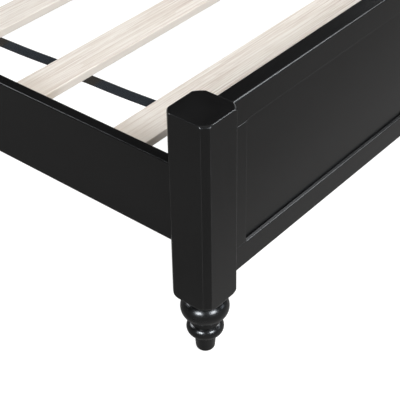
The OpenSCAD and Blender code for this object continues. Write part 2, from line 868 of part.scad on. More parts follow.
// Brackets and fasteners
for (s = sides) {
    scale([s, 1, 1]) corner_bracket();
    scale([s, -1, 1]) corner_bracket();
}
color(zinc) at_corners() bracket_bolt_set(0);  // bracket_bolts
threaded_inserts();
foot_hanger_bolts();
color(zinc) for (s = sides) scale([s, 1, 1]) cleat_screw_set(0);  // cleat_screws
color(zinc) for (s = sides, i = [0, slat_count - 1]) scale([s, 1, 1]) slat_screw(i, 0);  // slat_screws
color(zinc) for (s = sides) scale([1, s, 1]) batten_screw_set(0);  // batten_screws
color(zinc) for (s = sides) scale([1, s, 1]) saddle_screw_set(0);  // saddle_screws
strap_staples();
leg_bolts();
leg_nuts();
leg_glides();
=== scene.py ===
import math

import bmesh
import bpy
import numpy as np
from mathutils import Matrix, Vector


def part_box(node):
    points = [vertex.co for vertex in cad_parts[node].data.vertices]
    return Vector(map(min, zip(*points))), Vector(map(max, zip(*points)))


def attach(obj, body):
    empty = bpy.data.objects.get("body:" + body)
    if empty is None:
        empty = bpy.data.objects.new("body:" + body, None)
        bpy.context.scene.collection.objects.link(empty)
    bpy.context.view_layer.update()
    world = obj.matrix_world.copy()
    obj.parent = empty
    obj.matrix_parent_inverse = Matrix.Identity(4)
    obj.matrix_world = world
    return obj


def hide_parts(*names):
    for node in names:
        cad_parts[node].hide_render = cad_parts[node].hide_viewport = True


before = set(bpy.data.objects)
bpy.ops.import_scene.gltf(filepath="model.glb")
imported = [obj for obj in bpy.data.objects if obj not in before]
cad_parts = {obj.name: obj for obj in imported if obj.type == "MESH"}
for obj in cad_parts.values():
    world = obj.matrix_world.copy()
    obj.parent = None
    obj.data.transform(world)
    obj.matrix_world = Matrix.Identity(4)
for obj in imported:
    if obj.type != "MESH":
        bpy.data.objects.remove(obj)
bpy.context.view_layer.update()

MM = 0.001
FULL_TURN = 2 * math.pi


# Node tools

class Nodes:
    """Short calls for the nodes of one material or world"""

    def __init__(self, owner, output):
        owner.use_nodes = True
        tree = owner.node_tree
        self.nodes, self.links = tree.nodes, tree.links
        self.nodes.clear()
        self.output = self.add(output)

    def add(self, kind, inputs=None, **settings):
        node = self.nodes.new("ShaderNode" + kind)
        for key, value in settings.items():
            setattr(node, key, value)
        for key, value in (inputs or {}).items():
            self.give(node.inputs[key], value)
        return node

    def give(self, socket, value):
        """Links a socket to another node's output, or sets its own value"""
        if isinstance(value, bpy.types.NodeSocket):
            self.links.new(value, socket)
        else:
            socket.default_value = value

    def place(self, scale, uv=False):
        """Object coordinates, or UVs, times a scale"""
        source = self.add("TexCoord").outputs["UV" if uv else "Object"]
        return self.add("Mapping", {"Vector": source, "Scale": scale}).outputs[0]

    def axis(self, vector, name):
        return self.add("SeparateXYZ", {0: vector}).outputs[name]

    def noise(self, vector, scale=1.0, detail=2.0, roughness=0.5, distortion=0.0):
        return self.add("TexNoise", {
            "Vector": vector, "Scale": scale, "Detail": detail,
            "Roughness": roughness, "Distortion": distortion,
        }).outputs["Fac"]

    def cells(self, vector):
        """Distance from the nearest of many scattered points"""
        return self.add("TexVoronoi", {
            "Vector": vector, "Scale": 1.0, "Randomness": 1.0,
        }, feature="F1").outputs["Distance"]

    def math(self, operation, a, b=0.0, c=0.0):
        return self.add("Math", {0: a, 1: b, 2: c}, operation=operation).outputs[0]

    def weighted(self, *terms):
        """Sum of values times their weights"""
        total = None
        for value, weight in terms:
            share = self.math("MULTIPLY", value, weight)
            total = share if total is None else self.math("ADD", total, share)
        return total

    def spread(self, value, low, high, to_low=0.0, to_high=1.0, smooth=False):
        """Takes low to high over to the other range, and stops at its ends"""
        return self.add("MapRange", {
            "Value": value, "From Min": low, "From Max": high,
            "To Min": to_low, "To Max": to_high,
        }, interpolation_type="SMOOTHSTEP" if smooth else "LINEAR").outputs["Result"]

    def ramp(self, value, stops):
        """Colour by a value, from (position, colour) stops in rising order"""
        node = self.add("ValToRGB", {"Fac": value})
        elements = node.color_ramp.elements
        for position, _ in stops[1:-1]:
            elements.new(position)
        for element, (position, colour) in zip(elements, stops):
            element.position = position
            element.color = (*colour, 1.0)
        return node.outputs["Color"]

    def blend(self, factor, a, b):
        node = self.add("Mix", {0: factor}, data_type="RGBA")
        for socket, value in ((node.inputs[6], a), (node.inputs[7], b)):
            self.give(socket, (*value, 1.0) if isinstance(value, tuple) else value)
        return node.outputs[2]


class Shader(Nodes):
    """A node material with a Principled shader"""

    def __init__(self, name, **values):
        self.material = bpy.data.materials.new(name)
        super().__init__(self.material, "OutputMaterial")
        self.principled = self.add("BsdfPrincipled")
        self.give(self.output.inputs["Surface"], self.principled.outputs[0])
        for socket, value in values.items():
            self.set(socket.replace("_", " "), value)

    def set(self, socket, value):
        self.give(self.principled.inputs[socket], value)

    def bump(self, layers, normal=None):
        """layers: (height, metres, strength) from the coarsest to the finest"""
        for height, distance, strength in layers:
            inputs = {"Height": height, "Distance": distance, "Strength": strength}
            if normal is not None:
                inputs["Normal"] = normal
            normal = self.add("Bump", inputs).outputs[0]
        return normal


def stretched(axis, across, along):
    """Scale of a texture that is drawn out along one axis, in features per metre"""
    return tuple(along if name == axis else across for name in "xyz")


def even(scale):
    return (scale, scale, scale)


# Materials

# Cosine of the bend of a rounded edge, where the edge's painted highlight and shinier coat start and where
# they are strongest
EDGE_LIGHT_FROM, EDGE_LIGHT_MOST = 0.998, 0.95

# Metres from the bed's middle where the slats' painted shade near the side rails starts, and where it is
# darkest
RAIL_SHADE_FROM, RAIL_SHADE_MOST = 0.685, 0.745


def black_paint(name, axis, arris=0.9, edge_gloss=1.5):
    """Satin black paint with a painted highlight and a shinier coat along its edges, whose rounding is arris
    in mm
    """
    dark, light = (0.0022, 0.0022, 0.0023), (0.0046, 0.0046, 0.0047)
    painted_edge_highlight = (0.028, 0.029, 0.032)
    s = Shader(name, Specular_IOR_Level=0.5, Coat_Roughness=0.08, Coat_IOR=edge_gloss)
    grain = s.noise(s.place(stretched(axis, across=260, along=9)), detail=4, roughness=0.6)
    broad = s.noise(s.place(stretched(axis, across=14, along=2.5)), detail=3)
    peel = s.noise(s.place(even(1)), scale=420)
    colour = s.ramp(s.weighted((grain, 0.45), (broad, 0.55)), [(0.36, dark), (0.64, light)])
    rounded = s.add("Bevel", {"Radius": arris * MM}, samples=8).outputs[0]
    plain = s.add("NewGeometry").outputs["Normal"]
    bend = s.add("VectorMath", {0: rounded, 1: plain}, operation="DOT_PRODUCT").outputs["Value"]
    mottle = s.noise(s.place(stretched(axis, across=90, along=22)), detail=3)
    edge = s.spread(bend, EDGE_LIGHT_FROM, EDGE_LIGHT_MOST)
    edge = s.math("MULTIPLY", edge, s.spread(mottle, 0.35, 0.6, 0.5, 1.0))
    s.set("Coat Weight", edge)
    # Painted highlight: a lighter base colour along the rounded edges
    s.set("Base Color", s.blend(s.math("MULTIPLY", edge, 0.8), colour, painted_edge_highlight))
    s.set("Roughness", s.spread(s.weighted((broad, 0.6), (peel, 0.4)), 0.35, 0.65, 0.19, 0.27))
    s.set("Normal", s.bump([(grain, 0.08 * MM, 0.25), (peel, 0.05 * MM, 0.25)], rounded))
    s.set("Coat Normal", rounded)
    return s.material


def turned_paint():
    """Glossier black paint over turning marks"""
    dark, light = (0.0045, 0.0048, 0.0052), (0.0080, 0.0084, 0.0090)
    s = Shader("glossy_black_turning", Specular_IOR_Level=0.5)
    rings = s.noise(s.place(stretched("z", across=6, along=900)), detail=3)
    broad = s.noise(s.place(stretched("z", across=30, along=60)), detail=3)
    peel = s.noise(s.place(even(1)), scale=500)
    s.set("Base Color", s.ramp(broad, [(0.3, dark), (0.7, light)]))
    s.set("Roughness", s.spread(broad, 0.3, 0.7, 0.20, 0.28))
    s.set("Normal", s.bump([(rings, 0.05 * MM, 0.25), (peel, 0.05 * MM, 0.2)]))
    return s.material


def whitewash():
    """Pale wood whose fine dark lines along X show through a thin white wash, with painted light on its sides
    and painted shade near the side rails
    """
    line, thin_wash = (0.54, 0.465, 0.415), (0.67, 0.61, 0.56)
    wash, thick_wash = (0.757, 0.719, 0.667), (0.795, 0.767, 0.72)
    cloud, late_wood, pore = (0.755, 0.728, 0.69), (0.555, 0.475, 0.405), (0.44, 0.36, 0.30)
    painted_side_light, rail_shade = (0.845, 0.80, 0.745), (0.56, 0.503, 0.44)
    ring_count = 9.0
    s = Shader("whitewashed_slat_wood", Specular_IOR_Level=0.25)
    drift = s.noise(s.place(stretched("x", across=6, along=2.2)))
    bands = s.noise(s.place(stretched("x", across=55, along=1.3)), detail=3, distortion=0.5)
    lines = s.noise(s.place(stretched("x", across=430, along=4.5)), detail=3, roughness=0.65, distortion=0.2)
    fibre = s.noise(s.place(stretched("x", across=1300, along=40)), detail=3, roughness=0.6)
    value = s.weighted((lines, 0.66), (bands, 0.12), (fibre, 0.22))
    colour = s.ramp(value, [(0.39, line), (0.46, thin_wash), (0.52, wash), (0.59, thick_wash)])
    colour = s.blend(s.spread(drift, 0.35, 0.65, 0.0, 0.25), colour, cloud)
    rings = s.noise(s.place(stretched("x", across=30, along=0.9)), distortion=0.4)
    late = s.spread(s.math("FRACT", s.math("MULTIPLY", rings, ring_count)), 0.55, 0.97, smooth=True)
    colour = s.blend(s.math("MULTIPLY", late, 0.29), colour, late_wood)
    pores = s.cells(s.place(stretched("x", across=300, along=11)))
    colour = s.blend(s.spread(pores, 0.05, 0.16, 0.55, 0.0), colour, pore)
    facing_up = s.math("ABSOLUTE", s.axis(s.add("TexCoord").outputs["Normal"], "Z"))
    side = s.spread(facing_up, 0.75, 0.35)
    # Painted light: the slats' sides are made lighter than their tops
    colour = s.blend(s.math("MULTIPLY", side, 0.78), colour, painted_side_light)
    # Painted shade: darker towards the side rails, more on the sides than on the tops
    from_middle = s.math("ABSOLUTE", s.axis(s.place(even(1)), "X"))
    near_rail = s.spread(from_middle, RAIL_SHADE_FROM, RAIL_SHADE_MOST, smooth=True)
    shaded = s.math("MULTIPLY", near_rail, s.spread(side, 0.0, 1.0, 0.62, 0.95))
    s.set("Base Color", s.blend(shaded, colour, rail_shade))
    s.set("Roughness", s.spread(lines, 0.3, 0.7, 0.62, 0.78))
    s.set("Normal", s.bump([(bands, 0.3 * MM, 0.25), (lines, 0.2 * MM, 0.5), (fibre, 0.1 * MM, 0.4)]))
    return s.material


def bare_pine(name, axis):
    """Planed pine with growth rings and knots"""
    early_wood, late_wood = (0.68, 0.50, 0.31), (0.47, 0.29, 0.14)
    darker, knot = (0.56, 0.39, 0.22), (0.20, 0.10, 0.045)
    ring_count = 13.0
    s = Shader(name, Specular_IOR_Level=0.3)
    rings = s.noise(s.place(stretched(axis, across=38, along=1.5)), distortion=0.6)
    late = s.spread(s.math("FRACT", s.math("MULTIPLY", rings, ring_count)), 0.55, 0.98, smooth=True)
    fibre = s.noise(s.place(stretched(axis, across=700, along=20)), detail=4, roughness=0.6)
    colour = s.blend(s.math("MULTIPLY", late, 0.75), early_wood, late_wood)
    colour = s.blend(s.spread(fibre, 0.35, 0.65, 0.0, 0.35), colour, darker)
    knots = s.cells(s.place(stretched(axis, across=14, along=5)))
    s.set("Base Color", s.blend(s.spread(knots, 0.06, 0.14, 0.8, 0.0, smooth=True), colour, knot))
    s.set("Roughness", s.spread(late, 0.0, 1.0, 0.72, 0.58))
    s.set("Normal", s.bump([(late, 0.15 * MM, 0.35), (fibre, 0.1 * MM, 0.45)]))
    return s.material


def webbing():
    """Weave on UVs in metres: U along the strap, V across it"""
    rib_spacing, pick_spacing = 2.1 * MM, 1.7 * MM
    dark, middle, light = (0.004, 0.0055, 0.007), (0.010, 0.013, 0.0175), (0.020, 0.026, 0.034)
    painted_slat_shadow = (0.017, 0.015, 0.0125)
    s = Shader("black_webbing_weave", Specular_IOR_Level=0.15, Sheen_Weight=0.03, Sheen_Roughness=0.4)
    flat = s.place(even(1), uv=True)
    ribs = s.math("SINE", s.math("MULTIPLY", s.axis(flat, "Y"), FULL_TURN / rib_spacing))
    steps = s.math("MULTIPLY", s.axis(flat, "X"), FULL_TURN / pick_spacing)
    offset = s.math("MULTIPLY", s.math("SIGN", ribs), math.pi / 2)
    picks = s.math("SINE", s.math("ADD", steps, offset))
    height = s.weighted((s.math("ABSOLUTE", ribs), 0.6), (s.math("ABSOLUTE", picks), 0.4))
    fuzz = s.noise(s.place((900, 2600, 1), uv=True), detail=3)
    cloud = s.noise(s.place((14, 40, 1), uv=True))
    streaks = s.noise(s.place((6, 1500, 1), uv=True), detail=3)
    value = s.weighted((height, 0.45), (fuzz, 0.28), (cloud, 0.28))
    value = s.math("ADD", value, s.spread(streaks, 0.3, 0.7, -0.12, 0.12))
    colour = s.ramp(value, [(0.22, dark), (0.55, middle), (0.85, light)])
    near_slat = s.add("Attribute", attribute_name="near_slat").outputs["Fac"]
    # Painted shadow and reflection of the slat: brown in front of each slat
    s.set("Base Color", s.blend(near_slat, colour, painted_slat_shadow))
    s.set("Roughness", s.spread(fuzz, 0.3, 0.7, 0.55, 0.75))
    s.set("Normal", s.bump([(height, 0.35 * MM, 0.8), (fuzz, 0.1 * MM, 0.5)]))
    return s.material


def zinc(name, brushing):
    """Zinc plated steel with stains, and brush marks of the scale that is given"""
    dark, middle, light = (0.42, 0.43, 0.45), (0.56, 0.57, 0.585), (0.66, 0.66, 0.65)
    s = Shader(name, Metallic=1.0)
    brushed = s.noise(s.place(brushing), detail=3)
    stain = s.noise(s.place(even(55)), detail=4, roughness=0.6)
    value = s.weighted((stain, 0.7), (brushed, 0.3))
    s.set("Base Color", s.ramp(value, [(0.32, dark), (0.52, middle), (0.70, light)]))
    s.set("Roughness", s.spread(stain, 0.3, 0.7, 0.30, 0.46))
    s.set("Normal", s.bump([(brushed, 0.04 * MM, 0.25)]))
    return s.material


def nylon():
    """White nylon with scuffs"""
    scuffed, clean = (0.66, 0.65, 0.60), (0.79, 0.78, 0.74)
    s = Shader("white_nylon", Specular_IOR_Level=0.4, Subsurface_Weight=0.05)
    scuff = s.noise(s.place(even(260)), detail=4)
    s.set("Base Color", s.ramp(scuff, [(0.35, scuffed), (0.6, clean)]))
    s.set("Roughness", s.spread(scuff, 0.3, 0.7, 0.38, 0.55))
    s.set("Normal", s.bump([(scuff, 0.08 * MM, 0.3)]))
    return s.material


POST_PAINT = black_paint("black_paint_posts", "z", arris=1.8, edge_gloss=1.8)
PAINT = {axis: black_paint("black_paint_grain_" + axis, axis) for axis in "xyz"}
PINE = {axis: bare_pine("bare_pine_grain_" + axis, axis) for axis in "xyz"}
FOOT_PAINT = turned_paint()
SLAT_WOOD = whitewash()
WEBBING = webbing()
SHEET_STEEL = zinc("zinc_sheet_steel", stretched("z", across=900, along=54))
SCREW_STEEL = zinc("zinc_screw_steel", even(900))
NYLON = nylon()

# Material of the CAD nodes whose names start with each word, where the longest match counts
NODE_MATERIALS = {
    "foot_post": POST_PAINT, "head_post": POST_PAINT, "turned_foot": FOOT_PAINT,
    "footboard": PAINT["x"], "headboard": PAINT["x"],
    "footboard_stile": PAINT["z"], "headboard_stile": PAINT["z"],
    "side_rail": PAINT["y"], "slat_": SLAT_WOOD,
    "slat_cleat": PINE["y"], "centre_rail": PINE["y"], "centre_leg": PINE["z"],
    "saddle": SHEET_STEEL, "corner_bracket": SHEET_STEEL,
    "threaded_inserts": SCREW_STEEL, "foot_hanger_bolts": SCREW_STEEL, "strap_staples": SCREW_STEEL,
}


def dress_frame():
    for name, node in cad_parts.items():
        keys = [key for key in NODE_MATERIALS if name.startswith(key)]
        if not keys:
            continue
        material = NODE_MATERIALS[max(keys, key=len)]
        node.data.materials.clear()
        node.data.materials.append(material)


# Mesh tools

def new_piece(name, mesh, material, slot, *replaced):
    piece = bpy.data.objects.new(name, mesh)
    bpy.context.scene.collection.objects.link(piece)
    mesh.materials.append(material)
    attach(piece, "root")
    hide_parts(*replaced)
    return piece


def shade(mesh, sharp_from):
    """Smooth shading, but sharp at edges that bend by more than that many degrees"""
    mesh.shade_smooth()
    mesh.set_sharp_from_angle(angle=math.radians(sharp_from))


def islands(node):
    """The separate solids of a CAD node, each as an array of its points"""
    mesh = bmesh.new()
    mesh.from_mesh(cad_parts[node].data)
    bmesh.ops.remove_doubles(mesh, verts=mesh.verts, dist=0.001 * MM)
    found, seen = [], set()
    for start in mesh.verts:
        if start in seen:
            continue
        group, queue = [], [start]
        seen.add(start)
        while queue:
            vert = queue.pop()
            group.append(tuple(vert.co))
            for edge in vert.link_edges:
                other = edge.other_vert(vert)
                if other not in seen:
                    seen.add(other)
                    queue.append(other)
        found.append(np.array(group))
    mesh.free()
    return sorted(found, key=lambda points: tuple(np.round(points.mean(0), 4)))


def fastener_place(points, axis, head_up):
    """Matrix that puts a fastener, drawn in mm, on a CAD one, and the CAD one's length in mm

    It is drawn along -Z, with its head's top at Z = 0. The axis is the longest one if it is None.
    The head faces the axis's high end, the low end, or the wider one if head_up is None.
    """
    low, high = points.min(0), points.max(0)
    if axis is None:
        axis = int(np.argmax(high - low))
    middle = (low + high) / 2
    if head_up is None:
        others = [k for k in range(3) if k != axis]
        radius = np.linalg.norm((points - middle)[:, others], axis=1)
        near = 0.01 * MM
        at_low = radius[points[:, axis] < low[axis] + near].max()
        at_high = radius[points[:, axis] > high[axis] - near].max()
        head_up = at_high > at_low
    origin, outward = Vector(middle), Vector((0, 0, 0))
    origin[axis] = (high if head_up else low)[axis]
    outward[axis] = 1.0 if head_up else -1.0
    turn = outward.to_track_quat("Z", "Y").to_matrix().to_4x4()
    return Matrix.Translation(origin) @ turn @ Matrix.Scale(MM, 4), float((high - low)[axis]) / MM


def polygon(count, radius):
    angles = [FULL_TURN * k / count for k in range(count)]
    return [(radius * math.cos(angle), radius * math.sin(angle)) for angle in angles]


def hexagon_points(count, flats):
    """Points of a hexagon, as many as a round ring beside it has"""
    points = []
    for k in range(count):
        angle = FULL_TURN * k / count
        off_flat = (angle + math.pi / 6) % (math.pi / 3) - math.pi / 6
        reach = flats / 2 / math.cos(off_flat)
        points.append((reach * math.cos(angle), reach * math.sin(angle)))
    return points


def cross_outline(wide, narrow):
    """Twelve corners of a cross recess, against the clock"""
    corners = []
    for quarter in range(4):
        c, s = math.cos(quarter * math.pi / 2), math.sin(quarter * math.pi / 2)
        for x, y in ((wide, -narrow), (wide, narrow), (narrow, narrow)):
            corners.append((x * c - y * s, x * s + y * c))
    return corners


def ring(mesh, outline, z):
    return [mesh.verts.new((x, y, z)) for x, y in outline]


def turned_rings(mesh, profile, count):
    """Round rings of a profile of (radius, Z) points"""
    return [ring(mesh, polygon(count, radius), z) for radius, z in profile]


def join_rings(mesh, rings):
    for a, b in zip(rings, rings[1:]):
        for k in range(len(a)):
            n = (k + 1) % len(a)
            mesh.faces.new((a[k], a[n], b[n], b[k]))


def close_end(mesh, last, z):
    """Point at the end of a fastener"""
    point = mesh.verts.new((0, 0, z))
    for k in range(len(last)):
        mesh.faces.new((last[k], last[(k + 1) % len(last)], point))


def head_top(mesh, rim, outline, depth, taper):
    """Closes a head inside its rim with a recess of that outline"""
    z = rim[0].co.z
    mouth = ring(mesh, outline, z)
    edges = []
    for loop in (rim, mouth):
        for k, vert in enumerate(loop):
            pair = (vert, loop[(k + 1) % len(loop)])
            edges.append(mesh.edges.get(pair) or mesh.edges.new(pair))
    bmesh.ops.triangle_fill(mesh, use_beauty=True, edges=edges, normal=(0, 0, 1))
    base = ring(mesh, [(x * taper, y * taper) for x, y in outline], z - depth)
    join_rings(mesh, [mouth, base])
    mesh.faces.new(base)


# Steps of a thread in each turn, where it gets deeper below the shank, and where it narrows to the tip
STEPS_PER_TURN, RUN_OUT_STEPS, TIP_STEPS = 4, 6, 8


def threaded(mesh, above, start, end, radius, pitch, depth, tip):
    """Thread below a ring, from Z = start down to Z = end, where it narrows to the tip's radius"""
    count = len(above)
    steps = max(4, int(round((start - end) / pitch * STEPS_PER_TURN)))
    rings = [above]
    for j in range(steps + 1):
        z = start + (end - start) * j / steps
        depth_share = min(1.0, j / RUN_OUT_STEPS)
        tip_share = max(0.0, 1 - (steps - j) / TIP_STEPS)
        turn = []
        for k in range(count):
            phase = ((start - z) / pitch + k / count) % 1.0
            groove = abs(2 * phase - 1)
            r = radius - depth * depth_share * groove
            r = r * (1 - tip_share) + min(r, tip) * tip_share
            angle = FULL_TURN * k / count
            turn.append(mesh.verts.new((r * math.cos(angle), r * math.sin(angle), z)))
        rings.append(turn)
    join_rings(mesh, rings)
    return rings[-1]


# Fasteners and glides, each drawn in mm along -Z from its head's top at Z = 0

# Sides of round forms: small ones, and those that are wide or meet a hexagon
SIDES, FINE_SIDES = 24, 48
HEXAGON_FLATS = 10.0
M6_RADIUS = 3.0
M6_THREAD = {"radius": M6_RADIUS, "pitch": 1.0, "tip": 2.4}
SCREW_THREAD = {"radius": 2.0, "depth": 0.5, "tip": 1.0}


def countersunk_screw(length):
    """Flat-headed wood screw with a cross recess"""
    mesh = bmesh.new()
    profile = [(3.85, 0.0), (4.0, -0.25), (2.4, -2.5), (2.0, -3.2), (1.95, -9.0)]
    rings = turned_rings(mesh, profile, SIDES)
    join_rings(mesh, rings)
    head_top(mesh, rings[0], cross_outline(wide=2.2, narrow=0.42), depth=1.9, taper=0.5)
    last = threaded(mesh, rings[-1], start=-10, end=3 - length, pitch=1.8, **SCREW_THREAD)
    close_end(mesh, last, -length)
    return mesh


def pan_screw(length):
    """Round-headed screw with a cross recess"""
    mesh = bmesh.new()
    profile = [(2.3, 0.0), (3.0, -0.3), (3.6, -0.85), (3.95, -1.5), (4.0, -2.2), (2.0, -2.2)]
    rings = turned_rings(mesh, profile, SIDES)
    join_rings(mesh, rings)
    head_top(mesh, rings[0], cross_outline(wide=1.9, narrow=0.4), depth=1.5, taper=0.5)
    last = threaded(mesh, rings[-1], start=-3, end=2 - length, pitch=1.6, **SCREW_THREAD)
    close_end(mesh, last, -length)
    return mesh


def furniture_bolt(length):
    """Bolt with a low wide head and a hexagon socket"""
    head_h, socket_radius = 3.5, 2.31
    mesh = bmesh.new()
    profile = [
        (3.4, 0.0), (4.9, -0.25), (5.7, -0.8), (6.0, -1.6), (6.0, -3.0), (5.6, -head_h),
        (M6_RADIUS, -head_h),
    ]
    rings = turned_rings(mesh, profile, SIDES)
    join_rings(mesh, rings)
    head_top(mesh, rings[0], polygon(6, socket_radius), depth=2.4, taper=0.97)
    last = threaded(mesh, rings[-1], start=-4, end=0.6 - length, depth=0.5, **M6_THREAD)
    close_end(mesh, last, -length)
    return mesh


def hexagon_bolt(length):
    """Hexagon bolt with a dished head and a plain shank above its thread"""
    head_h, chamfer, top_radius, shank_end = 4.0, 0.385, 4.86, -38.0
    mesh = bmesh.new()
    dish = turned_rings(mesh, [(2.9, -0.25), (3.2, 0.0), (top_radius, 0.0)], FINE_SIDES)
    corners = hexagon_points(FINE_SIDES, HEXAGON_FLATS)
    flats = [ring(mesh, corners, z) for z in (-chamfer, -head_h)]
    profile = [(4.6, -head_h), (M6_RADIUS, -head_h), (M6_RADIUS, shank_end)]
    shank = turned_rings(mesh, profile, FINE_SIDES)
    join_rings(mesh, [*dish, *flats, *shank])
    mesh.faces.new(dish[0])
    last = threaded(mesh, shank[-1], start=shank_end - 1, end=0.7 - length, depth=0.45, **M6_THREAD)
    close_end(mesh, last, -length)
    return mesh


def hexagon_nut(height):
    """Hexagon nut with chamfered corners and a countersunk bore"""
    chamfer, end_radius, mouth_radius, bore_radius = 0.45, 4.895, 3.5, 3.06
    mesh = bmesh.new()
    corners = hexagon_points(FINE_SIDES, HEXAGON_FLATS)
    flats = [ring(mesh, corners, z) for z in (-chamfer, chamfer - height)]
    profile = [
        (end_radius, -height), (mouth_radius, -height), (bore_radius, chamfer - height),
        (bore_radius, -chamfer), (mouth_radius, 0.0), (end_radius, 0.0),
    ]
    bore = turned_rings(mesh, profile, FINE_SIDES)
    join_rings(mesh, [*flats, *bore, flats[0]])
    return mesh


def glide(length):
    """Nail-on glide: a domed nylon foot with a dimple in its floor side, round a nail"""
    nail_radius = 1.5
    mesh = bmesh.new()
    profile = [
        (2.6, -0.9), (3.0, -0.3), (3.5, 0.0), (5.5, 0.0), (8.4, -0.35), (10.2, -1.1), (11.0, -2.3),
        (11.0, -4.5), (10.4, -5.0), (nail_radius, -5.0), (nail_radius, 3.5 - length),
    ]
    rings = turned_rings(mesh, profile, FINE_SIDES)
    join_rings(mesh, rings)
    mesh.faces.new(rings[0])
    close_end(mesh, rings[-1], -length)
    return mesh


def make_fasteners(name, node, maker, slot, material, axis=None, head_up=None):
    """One piece in place of a CAD node of many fasteners, each turned differently"""
    turn_step = 0.7
    joined = bmesh.new()
    for number, points in enumerate(islands(node)):
        place, length = fastener_place(points, axis, head_up)
        one = maker(length)
        bmesh.ops.rotate(one, verts=one.verts, matrix=Matrix.Rotation(turn_step * number, 3, "Z"))
        bmesh.ops.recalc_face_normals(one, faces=one.faces)
        bmesh.ops.transform(one, matrix=place, verts=one.verts)
        part = bpy.data.meshes.new("part")
        one.to_mesh(part)
        one.free()
        joined.from_mesh(part)
        bpy.data.meshes.remove(part)
    mesh = bpy.data.meshes.new(name)
    joined.to_mesh(mesh)
    joined.free()
    new_piece(name, mesh, material, slot, node)
    shade(mesh, sharp_from=32)


# Webbing

SLAT_COUNT = 9
STRAP_W = 25 * MM
STRAP_T = 1.5 * MM

# The strap's middle line: X at the first slat's front, what each slat adds to it, and what it gains under one
STRAP_X, STRAP_X_PER_SLAT, STRAP_X_UNDER_SLAT = 640 * MM, 5.6 * MM, -3.4 * MM
STRAP_SAG = 0.9 * MM
STEPS_UNDER_SLAT, STEPS_BETWEEN = 24, 46

# Its section: where its edges start to thin, as a share of the width, and how much of them goes
EDGE_FROM, EDGE_LOSS = 0.46, 0.85
RIB_COUNT, STEPS_PER_RIB = 12, 4
RIB_H = 0.16 * MM

# How it keeps inside the CAD strap, below its top and at its sides
TOP_CLEARANCE = 0.02 * MM
WIDTH_SHARE = 0.998

# How far in front of a slat the strap gets a painted brown shadow and reflection of the slat, and over what
# length that fades
SLAT_SHADOW_REACH, SLAT_SHADOW_FADE = 21 * MM, 4 * MM


def strap_line(side):
    """Middle line of a strap: (x, y, sag) points from the foot end to the head end"""
    corners = []
    for i in range(SLAT_COUNT):
        slat_low, slat_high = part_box(f"slat_{i + 1}")
        start = STRAP_X + STRAP_X_PER_SLAT * i
        corners.append((start, slat_low.y))
        corners.append((start + STRAP_X_UNDER_SLAT, slat_high.y))
    points = []
    for k, ((x0, y0), (x1, y1)) in enumerate(zip(corners, corners[1:])):
        under_slat = k % 2 == 0
        steps = STEPS_UNDER_SLAT if under_slat else STEPS_BETWEEN
        for j in range(steps):
            t = j / steps
            sag = 0.0 if under_slat else STRAP_SAG * math.sin(math.pi * t) ** 2
            points.append((side * (x0 + (x1 - x0) * t), y0 + (y1 - y0) * t, sag))
    points.append((side * corners[-1][0], corners[-1][1], 0.0))
    return points


def strap_section():
    """Upper half of the strap's section: (share of the width, height above the middle)"""
    section = []
    for j in range(RIB_COUNT * STEPS_PER_RIB + 1):
        v = -0.5 + j / (RIB_COUNT * STEPS_PER_RIB)
        rib = 0.5 * (1 - math.cos(FULL_TURN * j / STEPS_PER_RIB)) * RIB_H
        into_edge = max(0.0, abs(v) - EDGE_FROM) / (0.5 - EDGE_FROM)
        half_t = STRAP_T / 2 * math.sqrt(1 - EDGE_LOSS * into_edge ** 2)
        section.append((v, half_t - RIB_H + rib))
    return section


def make_strap(side, node, name):
    points = strap_line(side)
    middle_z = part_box(node)[1].z - TOP_CLEARANCE - STRAP_T / 2
    width = STRAP_W * WIDTH_SHARE
    upper = strap_section()
    slat_fronts = [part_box(f"slat_{i + 1}")[0].y for i in range(SLAT_COUNT)]
    lengths = [0.0]
    for a, b in zip(points, points[1:]):
        lengths.append(lengths[-1] + math.dist(a[:2], b[:2]))
    rows, loop = len(points), len(upper) * 2
    verts, uvs, nearness = [], [], []
    for i, (x, y, sag) in enumerate(points):
        before, after = points[max(0, i - 1)], points[min(rows - 1, i + 1)]
        direction = Vector((after[0] - before[0], after[1] - before[1], 0)).normalized()
        across = Vector((direction.y, -direction.x, 0))
        centre = Vector((x, y, middle_z - sag))
        gap = min((front - y for front in slat_fronts if front >= y), default=1.0)
        # How much painted slat shadow this point of the strap gets
        near = min(1.0, max(0.0, 1.0 - (gap - SLAT_SHADOW_REACH) / SLAT_SHADOW_FADE))
        for sign, half in ((1, upper), (-1, reversed(upper))):
            for v, height in half:
                verts.append(centre + across * v * width + Vector((0, 0, sign * height)))
                uvs.append((lengths[i], v * STRAP_W))
                nearness.append(near)
    faces = [tuple(range(loop)), tuple(reversed(range((rows - 1) * loop, rows * loop)))]
    for i in range(rows - 1):
        for k in range(loop):
            n = (k + 1) % loop
            faces.append((i * loop + k, i * loop + n, (i + 1) * loop + n, (i + 1) * loop + k))
    mesh = bpy.data.meshes.new(name)
    mesh.from_pydata(verts, [], faces)
    mesh.attributes.new("near_slat", "FLOAT", "POINT").data.foreach_set("value", nearness)
    weave = mesh.uv_layers.new(name="weave")
    for corner in mesh.loops:
        weave.data[corner.index].uv = uvs[corner.vertex_index]
    outward = bmesh.new()
    outward.from_mesh(mesh)
    bmesh.ops.recalc_face_normals(outward, faces=outward.faces)
    outward.to_mesh(mesh)
    outward.free()
    piece = new_piece(name, mesh, WEBBING, "webbing", node)
    shade(mesh, sharp_from=55)


# Stage, light and camera

FLOOR_REACH = 60.0
FLOOR_DARK, FLOOR_PALE = (0.172, 0.172, 0.173), (0.19, 0.19, 0.19)
FLOOR_CLOUDS = 6.0

